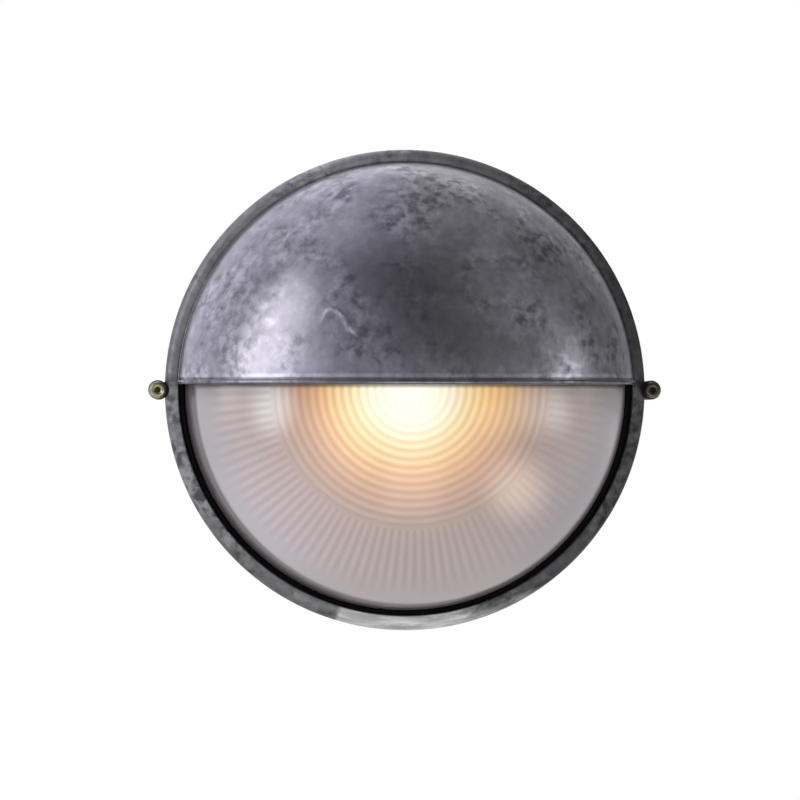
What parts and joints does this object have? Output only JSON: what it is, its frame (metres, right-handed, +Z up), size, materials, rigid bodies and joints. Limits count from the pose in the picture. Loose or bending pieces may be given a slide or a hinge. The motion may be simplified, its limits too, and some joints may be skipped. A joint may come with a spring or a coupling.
{
  "type": "outdoor wall light",
  "caption": "Round cast wall light for outdoors: dished housing, clamped front ring with a half-dome hood over a ribbed domed glass, side screws, and a bulb in its holder.",
  "frame": {"origin": "centre of the circle of wall-screw holes, on the plane of the wall", "axes": "+Z up, +X to the right as seen from the front, +Y into the wall; the front faces -Y"},
  "size_m": [0.2672, 0.1454, 0.25],
  "materials": {
    "housing_metal": "cast, worn, dull",
    "hood_metal": "cast, worn, satin sheen with cloudy wear",
    "ribbed_glass": "smooth outside, fine ribs inside, frosted",
    "seal_rubber": "matte black",
    "seal_silicone": "matte translucent grey",
    "reflector_white": "gloss white",
    "zinc_steel": "zinc plated",
    "contact_brass": "plain brass",
    "screw_brass": "dulled brass",
    "porcelain": "white glaze",
    "bulb_glass": "frosted, lit warm",
    "terminal_plastic": "off-white",
    "live_insulation": "brown silicone sleeve",
    "neutral_insulation": "blue silicone sleeve",
    "earth_insulation": "green with yellow"
  },
  "bodies": {
    "housing": {"back_housing": "housing_metal", "wall_seal": "seal_rubber", "cable_grommet": "seal_rubber", "rim_seal": "seal_silicone", "reflector": "reflector_white", "reflector_screw_left": "zinc_steel", "reflector_screw_right": "zinc_steel", "wire_bush": "seal_rubber", "holder_bracket": "zinc_steel", "bracket_screw_left": "zinc_steel", "bracket_screw_right": "zinc_steel", "lampholder": "porcelain", "holder_shell": "contact_brass", "holder_contact": "contact_brass", "holder_screw_left": "zinc_steel", "holder_screw_right": "zinc_steel", "light_bulb": "bulb_glass", "terminal_block": "terminal_plastic", "terminal_screws": "zinc_steel", "block_screw": "zinc_steel", "live_wire": "live_insulation", "neutral_wire": "neutral_insulation", "earth_wire": "earth_insulation", "earth_lug": "zinc_steel", "earth_screw": "contact_brass"},
    "front": {"hooded_frame": "hood_metal", "lens_gasket": "seal_rubber", "glass_lens": "ribbed_glass", "lens_spring_ring": "zinc_steel"},
    "washer_left": {"washer_left": "screw_brass"},
    "screw_left": {"screw_left": "screw_brass"},
    "washer_right": {"washer_right": "screw_brass"},
    "screw_right": {"screw_right": "screw_brass"}
  },
  "joints": [
    {"name": "front_slide", "type": "slide", "parent": "housing", "child": "front", "axis": [0, -1, 0], "range_m": [0, 0.08]},
    {"name": "left_screw_travel", "type": "slide", "parent": "front", "child": "washer_left", "axis": [0, -1, 0], "range_m": [0, 0.01]},
    {"name": "left_screw_turn", "type": "hinge", "parent": "washer_left", "child": "screw_left", "pos_m": [-0.1286, -0.0538, 0], "axis": [0, -1, 0], "range_deg": [0, 4500]},
    {"name": "right_screw_travel", "type": "slide", "parent": "front", "child": "washer_right", "axis": [0, -1, 0], "range_m": [0, 0.01]},
    {"name": "right_screw_turn", "type": "hinge", "parent": "washer_right", "child": "screw_right", "pos_m": [0.1286, -0.0538, 0], "axis": [0, -1, 0], "range_deg": [0, 4500]}
  ],
  "couplings": [
    {"joint": "left_screw_turn", "follows": "left_screw_travel", "rad_per_m": 7854},
    {"joint": "right_screw_turn", "follows": "right_screw_travel", "rad_per_m": 7854}
  ]
}
